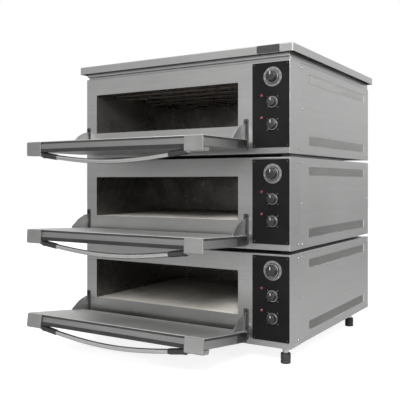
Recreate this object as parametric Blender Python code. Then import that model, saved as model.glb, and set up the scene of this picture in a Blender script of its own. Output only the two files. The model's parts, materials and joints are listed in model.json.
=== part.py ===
"""Triple deck oven: three stacked electric baking decks with drop-down doors, a roof cap and four feet.

Metres, +Z up, +X to the right of someone who faces the oven, the front faces -Y. The origin is on the
floor, at the middle of the box that holds the oven with its doors open. Inside a deck, y is counted
from the front sheet towards the back and z from the underside of that deck.
"""

import math

import bpy
import bmesh
from mathutils import Matrix, Vector

# --- driving dimensions -------------------------------------------------------------------------
BODY_W, BODY_D = 0.980, 0.950          # casing, without the roof's overhang and the doors
DECK_H, PITCH = 0.348, 0.360           # height of a deck, and from one deck to the next
FOOT_H = 0.065
SHEET, GAP = 0.002, 0.0003             # sheet metal, and the clearance of pieces that touch
DECKS = {"lower": 7.0, "middle": 2.5, "upper": 0.0}   # how far each door hangs above level, degrees

FRAME_D = 0.095                        # the front frame wraps this far round the casing's corners
MOUTH_X, MOUTH_Z = (-0.433, 0.274), (0.108, 0.276)
CHAMBER_D, CHAMBER_Z = 0.730, (0.088, 0.285)
POCKET_Z, POCKET_EDGE = 0.068, 0.010   # the trough under the stone, and the shelf the stone lies on
STONE_T = 0.0192
WOOL_X, WOOL_D, WOOL_Z = (-0.452, 0.300), 0.790, (0.030, 0.330)
RAIL_X, RAIL_Y = (0.400, 0.440), (0.120, 0.725)   # the rails that carry the deck above

ELEMENT_R, ELEMENT_RUNS = 0.004, 6
ELEMENT_Y = (0.085, 0.645)             # first and last run of a heating element
TOP_ELEMENT_Z, BOTTOM_ELEMENT_Z = 0.2775, 0.078

PANEL_X, PANEL_Z, PANEL_T = (0.337, 0.488), (0.023, 0.340), 0.003
KNOB_X = 0.421
THERMOSTAT_Z, TOP_HEAT_Z, BOTTOM_HEAT_Z = 0.286, 0.192, 0.109
SHAFT_R, SHAFT_PLAY, SHAFT_BACK = 0.003, 0.001, 0.018   # knob shafts, and how far they reach inwards
LAMP_X, LAMP_R, LAMP_RISE = 0.376, 0.005, 0.026

AXIS_OUT, AXIS_Z = 0.021, 0.034        # door axis: in front of the sheet, and above the deck's underside
DOOR_X, DOOR_T = (-0.489, 0.332), 0.040
DOOR_START, DOOR_END = 0.017, 0.327    # door panel, measured outwards from its axis
CAP_END, CAP_DROP, CAP_CHAMFER = 0.334, 0.036, 0.004   # the handle's corner caps, from the axis
ARM_REACH, ARM_PEAK = 0.088, 0.076     # the hinge arms' length along the door, and height over the axis
ARM_X, ARM_T = (-0.478, 0.309), 0.004
HINGE_R, HINGE_PLAY = 0.005, 0.0005
SLOT_HALF, SLOT_BELOW, SLOT_ABOVE = 0.0045, 0.018, ARM_REACH + 0.006   # the arms' slots, from the axis
LUG_NEAR, LUG_FAR, LUG_R = 0.010, 0.016, 0.010   # hinge lugs: sideways from the arm, and half height
HANDLE_R, HANDLE_OUT = 0.009, 0.314    # handle bar: radius, and its distance from the door's axis
HANDLE_START, HANDLE_DROP = 0.031, 0.063   # how far it lies under the door's middle plane: ends, middle

ROOF_OVER, ROOF_LIP, ROOF_NECK = 0.020, 0.032, 0.023
ROOF_NECK_IN = 0.003                   # the neck stands this far inside the casing's sides and back
GROOVE_H, GROOVE_D = 0.011, 0.012      # groove along the foot of the neck's front
ROOF_H = ROOF_LIP + ROOF_NECK

LEANS = [math.radians(angle) for angle in DECKS.values()]
DOOR_REACH = AXIS_OUT + max(CAP_END * math.cos(lean) + (CAP_DROP - CAP_CHAMFER) * math.sin(lean)
                            for lean in LEANS)
FRONT_Y = (DOOR_REACH - BODY_D) / 2    # puts the middle of the whole box, doors open, on y = 0
HALF_W = BODY_W / 2
TRAY_X = HALF_W - 0.0195               # where the side covers' flanges end and the inner covers begin
TRAY_D, TRAY_H = BODY_D - 0.022, 0.025  # depth of the base tray and top cover, height of the base tray

GLAND_X, GLAND_Z, GLAND_R = 0.400, 0.060, 0.014   # cable gland, closed with a blind cap

# --- materials: colour, roughness, metallic -----------------------------------------------------
FINISHES = {
    "stainless": ((0.42, 0.42, 0.41), 0.34, 1.0),
    "galvanised": ((0.36, 0.37, 0.38), 0.50, 1.0),
    "chamber_steel": ((0.10, 0.10, 0.10), 0.45, 1.0),
    "refractory": ((0.34, 0.31, 0.27), 0.90, 0.0),
    "glass_wool": ((0.62, 0.55, 0.36), 1.00, 0.0),
    "element": ((0.09, 0.09, 0.09), 0.50, 1.0),
    "black_panel": ((0.020, 0.020, 0.022), 0.40, 0.0),
    "black_plastic": ((0.016, 0.016, 0.016), 0.38, 0.0),
    "rubber": ((0.012, 0.012, 0.012), 0.75, 0.0),
    "name_plate": ((0.015, 0.015, 0.016), 0.30, 0.0),
}


def material(name):
    colour, roughness, metallic = FINISHES[name]
    made = bpy.data.materials.new(name)
    made.use_nodes = True
    shader = made.node_tree.nodes["Principled BSDF"]
    shader.inputs["Base Color"].default_value = (*colour, 1.0)
    shader.inputs["Roughness"].default_value = roughness
    shader.inputs["Metallic"].default_value = metallic
    made.diffuse_color = (*colour, 1.0)
    return made


# --- mesh helpers -------------------------------------------------------------------------------
def deck_point(x, y, z, base):
    """World place of a point given by its distance behind the front sheet and its height in the deck."""
    return Vector((x, FRONT_Y + y, base + z))


def add_box(bm, xs, ys, zs):
    centre = Vector((sum(xs) / 2, sum(ys) / 2, sum(zs) / 2))
    size = (xs[1] - xs[0], ys[1] - ys[0], zs[1] - zs[0])
    place = Matrix.Translation(centre) @ Matrix.Diagonal((*size, 1.0))
    bmesh.ops.create_cube(bm, size=1.0, matrix=place)


def add_bar(bm, start, end, radius, sides=16):
    """A round bar, or the cutter of a round hole, between two points."""
    start, end = Vector(start), Vector(end)
    turn = (end - start).to_track_quat("Z", "Y").to_matrix().to_4x4()
    place = Matrix.Translation((start + end) / 2) @ turn
    bmesh.ops.create_cone(bm, cap_ends=True, segments=sides, radius1=radius, radius2=radius,
                          depth=(end - start).length, matrix=place)


def add_turned(bm, profile, axis, sides):
    """Turns (radius, height) points round an axis: +Z, or -Y for a piece that stands on the front."""
    turn = Matrix.Identity(4) if axis == "+Z" else Matrix.Rotation(math.radians(90), 4, "X")
    rings = []
    for radius, height in profile:
        angles = [2 * math.pi * step / sides for step in range(sides)]
        ring = [bm.verts.new(turn @ Vector((radius * math.cos(t), radius * math.sin(t), height)))
                for t in angles]
        rings.append(ring)
    join_rings(bm, rings)


def join_rings(bm, rings):
    """Sides between successive rings of points, and a flat cap at each end."""
    count = len(rings[0])
    for lower, upper in zip(rings, rings[1:]):
        for step in range(count):
            after = (step + 1) % count
            bm.faces.new((lower[step], lower[after], upper[after], upper[step]))
    bm.faces.new(list(reversed(rings[0])))
    bm.faces.new(rings[-1])


def add_tube(bm, points, radius, sides):
    """A round tube that follows a flat or gently bent row of points."""
    points = [Vector(point) for point in points]
    across = (points[1] - points[0]).orthogonal().normalized()
    rings = []
    for index, point in enumerate(points):
        ahead = points[min(index + 1, len(points) - 1)]
        behind = points[max(index - 1, 0)]
        along = (ahead - behind).normalized()
        across = (across - along * across.dot(along)).normalized()
        other = along.cross(across)
        rings.append([bm.verts.new(point + radius * (math.cos(t) * across + math.sin(t) * other))
                      for t in (2 * math.pi * step / sides for step in range(sides))])
    join_rings(bm, rings)


def add_plate(bm, outline, axis_x, thickness):
    """A flat plate across X, from (y, z) corner points."""
    near = [bm.verts.new((axis_x - thickness / 2, y, z)) for y, z in outline]
    far = [bm.verts.new((axis_x + thickness / 2, y, z)) for y, z in outline]
    join_rings(bm, [near, far])


def piece(name, build, finish, location=(0, 0, 0), parent=None, smooth=False):
    """One object. build(bm) makes its mesh in the object's own coordinates."""
    bm = bmesh.new()
    build(bm)
    bmesh.ops.recalc_face_normals(bm, faces=bm.faces)
    mesh = bpy.data.meshes.new(name)
    bm.to_mesh(mesh)
    bm.free()
    if smooth:
        mesh.shade_smooth()
        mesh.set_sharp_from_angle(angle=math.radians(35))
    if finish:
        mesh.materials.append(MATERIALS[finish])
    obj = bpy.data.objects.new(name, mesh)
    obj.location = location
    obj.parent = parent
    bpy.context.scene.collection.objects.link(obj)
    return obj


def combine(obj, operation, build):
    """Cuts a helper shape from an object, or joins one to it. The helper itself isn't a part."""
    helper = piece(f"{obj.name}_{operation.lower()}_{len(obj.modifiers)}", build, None,
                   location=obj.location, parent=obj.parent)
    helper.hide_render = True
    helper.display_type = "WIRE"
    step = obj.modifiers.new(operation.title(), "BOOLEAN")
    step.operation = operation
    step.solver = "EXACT"
    step.object = helper


# --- fixed pieces of a deck ---------------------------------------------------------------------
def control_holes(bm):
    """Holes for the three knob shafts and the two lamps, through the panel and the frame behind it."""
    for z in (THERMOSTAT_Z, TOP_HEAT_Z, BOTTOM_HEAT_Z):
        add_bar(bm, (KNOB_X, -0.02, z), (KNOB_X, 0.02, z), SHAFT_R + SHAFT_PLAY, 12)
    for z in (TOP_HEAT_Z + LAMP_RISE, BOTTOM_HEAT_Z + LAMP_RISE):
        add_bar(bm, (LAMP_X, -0.02, z), (LAMP_X, 0.02, z), LAMP_R, 12)


def front_frame(deck, origin):
    def body(bm):
        add_box(bm, (-HALF_W, HALF_W), (0, FRAME_D), (0, DECK_H))

    def hollow(bm):
        add_box(bm, (-HALF_W + SHEET, HALF_W - SHEET), (SHEET, FRAME_D + 0.01), (SHEET, DECK_H - SHEET))

    def mouth_and_slots(bm):
        add_box(bm, MOUTH_X, (-0.01, 0.01), MOUTH_Z)
        for arm in ARM_X:
            add_box(bm, (arm - SLOT_HALF, arm + SLOT_HALF), (-0.01, 0.01),
                    (AXIS_Z - SLOT_BELOW, AXIS_Z + SLOT_ABOVE))

    def lugs(bm):
        for arm, inward in zip(ARM_X, (1, -1)):
            near, far = sorted((arm + inward * LUG_NEAR, arm + inward * LUG_FAR))
            add_box(bm, (near, far), (-AXIS_OUT - LUG_R, 0.001), (AXIS_Z - LUG_R, AXIS_Z + LUG_R))

    def lug_holes(bm):
        add_bar(bm, (DOOR_X[0], -AXIS_OUT, AXIS_Z), (DOOR_X[1], -AXIS_OUT, AXIS_Z), HINGE_R + HINGE_PLAY, 20)

    frame = piece(f"{deck}_front_frame", body, "stainless", origin)
    combine(frame, "DIFFERENCE", hollow)
    combine(frame, "DIFFERENCE", mouth_and_slots)
    combine(frame, "DIFFERENCE", control_holes)
    combine(frame, "UNION", lugs)
    combine(frame, "DIFFERENCE", lug_holes)


def side_cover(deck, origin, side):
    """A folded tray: the outer sheet with a flange turned in along all four edges."""
    outer, inner = side * (HALF_W - 0.001), side * (TRAY_X + 0.0005)
    ys, zs = (FRAME_D + GAP, BODY_D), (0.0, DECK_H)

    def body(bm):
        add_box(bm, sorted((outer, inner)), ys, zs)

    def hollow(bm):
        add_box(bm, sorted((outer - side * SHEET, inner - side * 0.01)),
                (ys[0] + SHEET, ys[1] - SHEET), (zs[0] + SHEET, zs[1] - SHEET))

    name = "right" if side > 0 else "left"
    cover = piece(f"{deck}_{name}_side_cover", body, "stainless", origin)
    combine(cover, "DIFFERENCE", hollow)


def inner_covers(deck, origin, has_deck_above):
    """The base tray, the top cover with the rails that carry the next deck, and the back cover."""
    ys = (FRAME_D + GAP, TRAY_D)
    across = (-TRAY_X, TRAY_X)

    def base(bm):
        add_box(bm, across, ys, (0, TRAY_H))

    def base_hollow(bm):
        add_box(bm, (-TRAY_X + SHEET, TRAY_X - SHEET), (ys[0] + SHEET, ys[1] - SHEET),
                (SHEET, TRAY_H + 0.005))

    def top(bm):
        add_box(bm, across, ys, (DECK_H - SHEET, DECK_H))

    def rails(bm):
        for side in (-1, 1):
            add_box(bm, sorted((side * RAIL_X[0], side * RAIL_X[1])), RAIL_Y, (DECK_H - 0.001, PITCH - GAP))

    tray = piece(f"{deck}_base_tray", base, "galvanised", origin)
    combine(tray, "DIFFERENCE", base_hollow)
    cover = piece(f"{deck}_top_cover", top, "galvanised", origin)
    if has_deck_above:
        combine(cover, "UNION", rails)

    back_y = ys[1] + GAP

    def back(bm):
        add_box(bm, across, (back_y, back_y + SHEET), (0, DECK_H))

    def gland(bm):
        add_bar(bm, (GLAND_X, back_y + 0.001, GLAND_Z), (GLAND_X, BODY_D - 0.002, GLAND_Z), GLAND_R, 20)

    sheet = piece(f"{deck}_back_cover", back, "galvanised", origin)
    combine(sheet, "UNION", gland)


def element_route(height, inset):
    """One heating element: legs through the chamber's right wall, and straight runs joined by half turns."""
    first, last = ELEMENT_Y
    step = (last - first) / (ELEMENT_RUNS - 1)
    margin = inset + 0.015 + step / 2
    left, right = MOUTH_X[0] + margin, MOUTH_X[1] - margin
    leg_x = MOUTH_X[1] + 0.020
    points = [(leg_x, first, height)]
    for run in range(ELEMENT_RUNS - 1):
        y = first + run * step
        side, end_x = (-1, left) if run % 2 == 0 else (1, right)
        for corner in range(6):
            angle = math.pi * corner / 5
            points.append((end_x + side * math.sin(angle) * step / 2,
                           y + step / 2 - math.cos(angle) * step / 2, height))
    points.append((leg_x, last, height))
    return points


def chamber(deck, origin):
    """The liner, its stone, the two heating elements and the insulation around it."""
    outer_x = (MOUTH_X[0] - SHEET, MOUTH_X[1] + SHEET)
    outer_z = (POCKET_Z - SHEET, CHAMBER_Z[1] + SHEET)
    routes = {"top": element_route(TOP_ELEMENT_Z, 0.0),
              "bottom": element_route(BOTTOM_ELEMENT_Z, POCKET_EDGE)}
    legs = [point for route in routes.values() for point in (route[0], route[-1])]

    def leg_holes(radius, reach):
        def holes(bm):
            for _, y, z in legs:
                add_bar(bm, (MOUTH_X[1] - 0.012, y, z), (MOUTH_X[1] + reach, y, z), radius, 12)
        return holes

    def body(bm):
        add_box(bm, outer_x, (SHEET + GAP, CHAMBER_D + SHEET), outer_z)

    def cavity(bm):
        add_box(bm, MOUTH_X, (-0.01, CHAMBER_D), CHAMBER_Z)

    def pocket(bm):
        add_box(bm, (MOUTH_X[0] + POCKET_EDGE, MOUTH_X[1] - POCKET_EDGE),
                (0.012, CHAMBER_D - POCKET_EDGE), (POCKET_Z, CHAMBER_Z[0] + 0.005))

    liner = piece(f"{deck}_chamber_liner", body, "chamber_steel", origin)
    combine(liner, "DIFFERENCE", cavity)
    combine(liner, "DIFFERENCE", pocket)
    combine(liner, "DIFFERENCE", leg_holes(0.0052, 0.010))

    def wool(bm):
        add_box(bm, WOOL_X, (2 * (SHEET + GAP), WOOL_D), WOOL_Z)

    def wool_hollow(bm):
        add_box(bm, (outer_x[0] - GAP, outer_x[1] + GAP), (-0.01, CHAMBER_D + SHEET + GAP),
                (outer_z[0] - GAP, outer_z[1] + GAP))

    insulation = piece(f"{deck}_insulation", wool, "glass_wool", origin)
    combine(insulation, "DIFFERENCE", wool_hollow)
    combine(insulation, "DIFFERENCE", leg_holes(0.009, 0.040))

    def slab(bm):
        bottom = CHAMBER_Z[0] + GAP
        add_box(bm, (MOUTH_X[0] + 0.0015, MOUTH_X[1] - 0.0015), (0.004, CHAMBER_D - 0.002),
                (bottom, bottom + STONE_T))

    piece(f"{deck}_baking_stone", slab, "refractory", origin)
    for place, route in routes.items():
        def element(bm, route=route):
            add_tube(bm, route, ELEMENT_R, 6)
        piece(f"{deck}_{place}_heating_element", element, "element", origin, smooth=True)


def control_panel(deck, origin):
    def body(bm):
        add_box(bm, PANEL_X, (-PANEL_T - GAP, -GAP), PANEL_Z)

    panel = piece(f"{deck}_control_panel", body, "black_panel", origin)
    combine(panel, "DIFFERENCE", control_holes)


# --- moving pieces of a deck --------------------------------------------------------------------
def knob(name, base, height, radius, depth):
    """A turned knob with a skirt, and the shaft behind it. Its origin is on the shaft's axis."""
    front = PANEL_T + 0.001
    profile = [(SHAFT_R, -SHAFT_BACK), (SHAFT_R, front), (radius, front), (radius, front + 0.004),
               (radius * 0.84, front + 0.006), (radius * 0.78, front + depth - 0.001),
               (radius * 0.72, front + depth)]

    def body(bm):
        add_turned(bm, profile, "-Y", 20)

    piece(name, body, "black_plastic", deck_point(KNOB_X, 0, height, base), smooth=True)


def hinge_axis(deck, base, rest_angle):
    """An empty on the door's axis, turned to the angle at which the door hangs."""
    pivot = bpy.data.objects.new(f"{deck}_door_axis", None)
    pivot.location = deck_point(0, -AXIS_OUT, AXIS_Z, base)
    pivot.rotation_euler.x = -math.radians(rest_angle)
    bpy.context.scene.collection.objects.link(pivot)
    return pivot


def door(deck, pivot):
    """The door in its own coordinates: level, hinged at the origin and reaching out along -Y."""
    half = DOOR_T / 2

    def slab(bm):
        add_box(bm, DOOR_X, (-DOOR_END, -DOOR_START), (-half, half))

    def hollow(bm):
        add_box(bm, (DOOR_X[0] + SHEET, DOOR_X[1] - SHEET), (-DOOR_END + SHEET, 0),
                (-half + SHEET, half - SHEET))

    panel = piece(f"{deck}_door", slab, "stainless", parent=pivot)
    combine(panel, "DIFFERENCE", hollow)

    on_door = half + GAP
    arm = [(0.012, -0.010), (-0.012, -0.010), (-0.012, on_door), (-ARM_REACH, on_door),
           (-ARM_REACH, on_door + 0.006), (-0.050, ARM_PEAK - 0.018), (-0.012, ARM_PEAK),
           (0.026, ARM_PEAK + 0.006), (0.026, ARM_PEAK - 0.020), (0.012, on_door + 0.012)]

    def arms(bm):
        for x in ARM_X:
            add_plate(bm, arm, x, ARM_T)

    def rod(bm):
        add_bar(bm, (ARM_X[0] - 0.001, 0, 0), (ARM_X[1] + 0.001, 0, 0), HINGE_R, 20)

    hinge = piece(f"{deck}_door_hinge", rod, "galvanised", parent=pivot)
    combine(hinge, "UNION", arms)


def handle(deck, pivot):
    """The bowed bar across the door's free edge, between two corner caps."""
    cap_w, cap_low, cap_high = 0.075, -CAP_DROP, DOOR_T / 2 - 0.002
    under = -DOOR_T / 2 - GAP
    bar_ends = (DOOR_X[0] + cap_w - 0.015, DOOR_X[1] - cap_w + 0.015)
    steps = 20

    def bar_point(share):
        x = bar_ends[0] + (bar_ends[1] - bar_ends[0]) * share
        bow = (HANDLE_DROP - HANDLE_START) * math.sin(math.pi * share)
        return (x, -HANDLE_OUT, -HANDLE_START - bow)

    def bar(bm):
        add_tube(bm, [bar_point(step / steps) for step in range(steps + 1)], HANDLE_R, 12)

    def caps(bm):
        for near, far in ((DOOR_X[0], DOOR_X[0] + cap_w), (DOOR_X[1] - cap_w, DOOR_X[1])):
            outline = [(-CAP_END, cap_high), (-DOOR_END - GAP, cap_high), (-DOOR_END - GAP, under),
                       (-0.288, under), (-0.292, cap_low), (-CAP_END + CAP_CHAMFER, cap_low),
                       (-CAP_END, cap_low + CAP_CHAMFER)]
            add_plate(bm, outline, (near + far) / 2, far - near)

    grip = piece(f"{deck}_door_handle", bar, "stainless", parent=pivot, smooth=True)
    combine(grip, "UNION", caps)


# --- shared pieces ------------------------------------------------------------------------------
def roof(base):
    """A pressed cap whose lip stands proud of the casing, on a neck grooved at the front, open underneath."""
    ys = (-ROOF_OVER, BODY_D)
    wide, neck = HALF_W + ROOF_OVER, HALF_W - ROOF_NECK_IN
    neck_back = BODY_D - ROOF_NECK_IN

    def cap(bm):
        add_box(bm, (-wide, wide), ys, (ROOF_NECK, ROOF_H))

    def collar(bm):
        add_box(bm, (-neck, neck), (GROOVE_D, neck_back), (GAP, ROOF_NECK + 0.001))

    def shoulder(bm):
        add_box(bm, (-neck, neck), (GAP, GROOVE_D + SHEET), (GROOVE_H, ROOF_NECK + 0.001))

    def cap_hollow(bm):
        add_box(bm, (-wide + SHEET, wide - SHEET), (ys[0] + SHEET, ys[1] - SHEET),
                (ROOF_NECK + SHEET, ROOF_H - SHEET))

    def collar_hollow(bm):
        add_box(bm, (-neck + SHEET, neck - SHEET), (GROOVE_D + SHEET, neck_back - SHEET),
                (-0.01, ROOF_NECK + 0.005))

    def shoulder_hollow(bm):
        add_box(bm, (-neck + SHEET, neck - SHEET), (GAP + SHEET, GROOVE_D + 2 * SHEET),
                (GROOVE_H + SHEET, ROOF_NECK + 0.005))

    cover = piece("roof_cap", cap, "stainless", deck_point(0, 0, 0, base))
    combine(cover, "UNION", collar)
    combine(cover, "UNION", shoulder)
    combine(cover, "DIFFERENCE", cap_hollow)
    combine(cover, "DIFFERENCE", collar_hollow)
    combine(cover, "DIFFERENCE", shoulder_hollow)
    soften = cover.modifiers.new("Bevel", "BEVEL")
    soften.width, soften.segments, soften.limit_method, soften.angle_limit = 0.0006, 1, "ANGLE", 1.0

    def plate(bm):
        add_box(bm, (0.364, 0.458), (ys[0] - 0.0018, ys[0] - GAP), (ROOF_NECK + 0.002, ROOF_H - 0.002))

    piece("name_plate", plate, "name_plate", deck_point(0, 0, 0, base))


def feet():
    pad_r, pad_h, stem_r = 0.019, 0.040, 0.011
    profile = [(pad_r - 0.002, 0.0), (pad_r, 0.003), (pad_r, pad_h - 0.004), (pad_r - 0.004, pad_h),
               (stem_r, pad_h), (stem_r, FOOT_H - GAP)]

    def foot(bm):
        add_turned(bm, profile, "+Z", 24)

    for side, x in (("left", -0.450), ("right", 0.450)):
        for end, y in (("front", 0.050), ("rear", 0.780)):
            piece(f"{end}_{side}_foot", foot, "rubber", deck_point(x, y, 0, 0), smooth=True)


# --- assembly -----------------------------------------------------------------------------------
def oven():
    feet()
    last = list(DECKS)[-1]
    for level, (deck, rest_angle) in enumerate(DECKS.items()):
        base = FOOT_H + level * PITCH
        origin = deck_point(0, 0, 0, base)
        front_frame(deck, origin)
        side_cover(deck, origin, -1)
        side_cover(deck, origin, 1)
        inner_covers(deck, origin, deck != last)
        chamber(deck, origin)
        control_panel(deck, origin)
        knob(f"{deck}_thermostat_knob", base, THERMOSTAT_Z, 0.025, 0.024)
        knob(f"{deck}_top_heat_knob", base, TOP_HEAT_Z, 0.021, 0.022)
        knob(f"{deck}_bottom_heat_knob", base, BOTTOM_HEAT_Z, 0.021, 0.022)
        pivot = hinge_axis(deck, base, rest_angle)
        door(deck, pivot)
        handle(deck, pivot)
    roof(FOOT_H + (len(DECKS) - 1) * PITCH + DECK_H)


for old in list(bpy.data.objects):
    bpy.data.objects.remove(old, do_unlink=True)
MATERIALS = {name: material(name) for name in FINISHES}
oven()
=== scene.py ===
"""Looks of the triple deck oven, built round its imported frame.

Metres, in the row's frame: +Z up, the front faces -Y. Most pieces are made in the coordinates of their
own deck, which start at the middle of its front sheet's lower edge, with y running backwards. A door's
pieces are made level, with the door's axis as their origin, and hang at the door's own angle.
"""

import json
import math

import bmesh
import bpy
from mathutils import Matrix, Vector, geometry


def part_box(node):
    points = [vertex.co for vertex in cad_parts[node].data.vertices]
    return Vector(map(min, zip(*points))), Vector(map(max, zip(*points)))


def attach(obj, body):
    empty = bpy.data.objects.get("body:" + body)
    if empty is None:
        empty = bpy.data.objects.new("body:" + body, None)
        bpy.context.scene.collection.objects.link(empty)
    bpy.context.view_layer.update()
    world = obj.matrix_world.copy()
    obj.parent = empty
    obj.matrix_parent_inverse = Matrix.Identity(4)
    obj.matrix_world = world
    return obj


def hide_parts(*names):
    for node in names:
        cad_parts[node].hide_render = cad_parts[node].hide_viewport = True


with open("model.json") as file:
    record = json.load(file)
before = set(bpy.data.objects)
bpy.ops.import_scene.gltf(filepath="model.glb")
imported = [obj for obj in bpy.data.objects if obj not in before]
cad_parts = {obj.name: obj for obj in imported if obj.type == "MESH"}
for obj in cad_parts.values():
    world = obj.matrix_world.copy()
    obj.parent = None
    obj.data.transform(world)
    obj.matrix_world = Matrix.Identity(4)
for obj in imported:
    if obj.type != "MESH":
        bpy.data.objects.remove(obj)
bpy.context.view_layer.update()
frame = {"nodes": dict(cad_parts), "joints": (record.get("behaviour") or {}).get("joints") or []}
JOINTS = {joint["name"]: joint for joint in frame["joints"]}
DECKS = ("lower", "middle", "upper")

# --- places, from the frame -----------------------------------------------------------------------
SHEET, GAP = 0.002, 0.0003              # sheet metal, and the clearance of pieces that touch
PANEL_LOW, PANEL_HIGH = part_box("upper_control_panel")
FRONT_Y = PANEL_HIGH.y + GAP            # the front sheet's outer face
FRAME_LOW, FRAME_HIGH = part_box("upper_front_frame")
HALF_W, FRAME_D = FRAME_HIGH.x, FRAME_HIGH.y - FRONT_Y
DECK_H = FRAME_HIGH.z - FRAME_LOW.z
UPPER_BASE = FRAME_LOW.z
SIDE_LOW, SIDE_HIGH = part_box("upper_right_side_cover")
SIDE_Y = (SIDE_LOW.y - FRONT_Y, SIDE_HIGH.y - FRONT_Y)
SIDE_X = (SIDE_LOW.x, SIDE_HIGH.x)
LINER_LOW, LINER_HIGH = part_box("upper_chamber_liner")
MOUTH_X = (LINER_LOW.x + SHEET, LINER_HIGH.x - SHEET)
MOUTH_Z = (0.108, 0.276)
PANEL_X = (PANEL_LOW.x, PANEL_HIGH.x)
PANEL_Z = (PANEL_LOW.z - UPPER_BASE, PANEL_HIGH.z - UPPER_BASE)
PANEL_T = PANEL_HIGH.y - PANEL_LOW.y
AXIS = Vector(JOINTS["upper_door_swing"]["pos_m"])
DOOR_LOW, DOOR_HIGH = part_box("upper_door")      # the upper door hangs level
DOOR_X = (DOOR_LOW.x, DOOR_HIGH.x)
DOOR_START, DOOR_END = AXIS.y - DOOR_HIGH.y, AXIS.y - DOOR_LOW.y
DOOR_T = DOOR_HIGH.z - DOOR_LOW.z
HANDLE_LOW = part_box("upper_door_handle")[0]
HANDLE_R = 0.009
BAR_OUT = 0.314                         # the handle's bar, in front of the door's axis
BAR_START, BAR_DROP = 0.031, AXIS.z - HANDLE_LOW.z - HANDLE_R   # and under it, at its ends and its middle
CAP_END, CAP_W, CAP_DROP = AXIS.y - HANDLE_LOW.y, 0.075, 0.036  # the handle's corner caps
HINGE_LOW, HINGE_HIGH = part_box("upper_door_hinge")
ARM_REACH = AXIS.y - HINGE_LOW.y
ARM_HALF, ROD_R = 0.002, 0.005          # half an arm's thickness, and the hinge rod
ARM_X = (HINGE_LOW.x + ARM_HALF, HINGE_HIGH.x - ARM_HALF)
AXIS_OUT, AXIS_Z = FRONT_Y - AXIS.y, AXIS.z - UPPER_BASE
SLOT_BELOW, SLOT_ABOVE, SLOT_HALF = 0.018, ARM_REACH + 0.006, 0.0045    # the arms' slots, from the axis
LUG_NEAR, LUG_FAR, LUG_R = 0.010, 0.016, 0.010   # hinge lugs: sideways from the arm, and half height
KNOB_X = JOINTS["upper_thermostat_turn"]["pos_m"][0]
KNOB_Z = {name: JOINTS[f"upper_{name}_turn"]["pos_m"][2] - UPPER_BASE
          for name in ("thermostat", "top_heat", "bottom_heat")}
LAMP_X, LAMP_RISE, LAMP_R = 0.376, 0.026, 0.005
ROOF_LOW, ROOF_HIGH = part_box("roof_cap")


def base_of(deck):
    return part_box(f"{deck}_front_frame")[0].z


def deck_place(deck):
    return Matrix.Translation((0, FRONT_Y, base_of(deck)))


def lean_of(deck):
    """How far the open door hangs above level, in radians."""
    return math.radians(90 - JOINTS[f"{deck}_door_swing"]["range_deg"][1])


def door_place(deck):
    axis = Vector(JOINTS[f"{deck}_door_swing"]["pos_m"])
    return Matrix.Translation(axis) @ Matrix.Rotation(-lean_of(deck), 4, "X")


# --- camera, light and floor ----------------------------------------------------------------------
def camera():
    """Level, standing to the right of the oven's front corner and looking back along its diagonal."""
    turn = math.radians(31.64)
    corner = Vector((HALF_W, FRONT_Y, 0))
    ahead = Vector((-math.sin(turn), math.cos(turn), 0))
    right = Vector((math.cos(turn), math.sin(turn), 0))
    distance, side_step, eye = 2.340, 0.1409, 0.6813
    made = bpy.data.objects.new("camera", bpy.data.cameras.new("camera"))
    made.location = corner - distance * (ahead + side_step * right) + Vector((0, 0, eye))
    made.rotation_euler = (math.radians(90), 0, turn)
    made.data.lens, made.data.sensor_width = 57.6, 36.0
    made.data.shift_y = -0.046
    made.data.clip_start, made.data.clip_end = 0.05, 60.0
    bpy.context.scene.collection.objects.link(made)
    bpy.context.scene.camera = made


# Greys along an axis, as pairs of a share of the way and a grey.
SKY = ((0.0, 0.80), (0.46, 0.72), (0.50, 0.66), (0.56, 0.95), (0.70, 1.0), (1.0, 0.95))
LEFT_TO_RIGHT = ((0.0, 0.65), (0.17, 0.85), (0.28, 0.97), (0.5, 1.0), (1.0, 1.0))
FLOOR = ((0.0, 0.36), (0.45, 0.44), (0.80, 0.56), (1.0, 0.56))
FLOOR_X = (-2.2, 0.2)


def grey_along(tree, coordinates, axis, ends, stops):
    """Greys along an axis of the coordinates, from one end to the other."""
    split = tree.nodes.new("ShaderNodeSeparateXYZ")
    tree.links.new(tree.nodes.new("ShaderNodeTexCoord").outputs[coordinates], split.inputs[0])
    place = tree.nodes.new("ShaderNodeMapRange")
    place.inputs["From Min"].default_value, place.inputs["From Max"].default_value = ends
    tree.links.new(split.outputs[axis], place.inputs["Value"])
    ramp = tree.nodes.new("ShaderNodeValToRGB")
    stops_of_ramp = ramp.color_ramp.elements
    for share, grey in stops:
        stop = stops_of_ramp.new(share) if 0 < share < 1 else stops_of_ramp[-round(share)]
        stop.color = (grey, grey, grey, 1)
    tree.links.new(place.outputs["Result"], ramp.inputs["Fac"])
    return ramp.outputs["Color"]


def camera_only(tree, others, seen):
    """A shader that the camera sees directly, and another that lights and reflects."""
    rays = tree.nodes.new("ShaderNodeLightPath")
    choice = tree.nodes.new("ShaderNodeMixShader")
    tree.links.new(rays.outputs["Is Camera Ray"], choice.inputs[0])
    tree.links.new(others, choice.inputs[1])
    tree.links.new(seen, choice.inputs[2])
    return choice.outputs[0]


def softbox(name, location, target, size, power):
    lamp = bpy.data.lights.new(name, "AREA")
    lamp.shape, lamp.size, lamp.size_y, lamp.energy = "RECTANGLE", *size, power
    made = bpy.data.objects.new(name, lamp)
    made.location = location
    made.rotation_euler = (Vector(target) - Vector(location)).to_track_quat("-Z", "Y").to_euler()
    bpy.context.scene.collection.objects.link(made)


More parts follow.
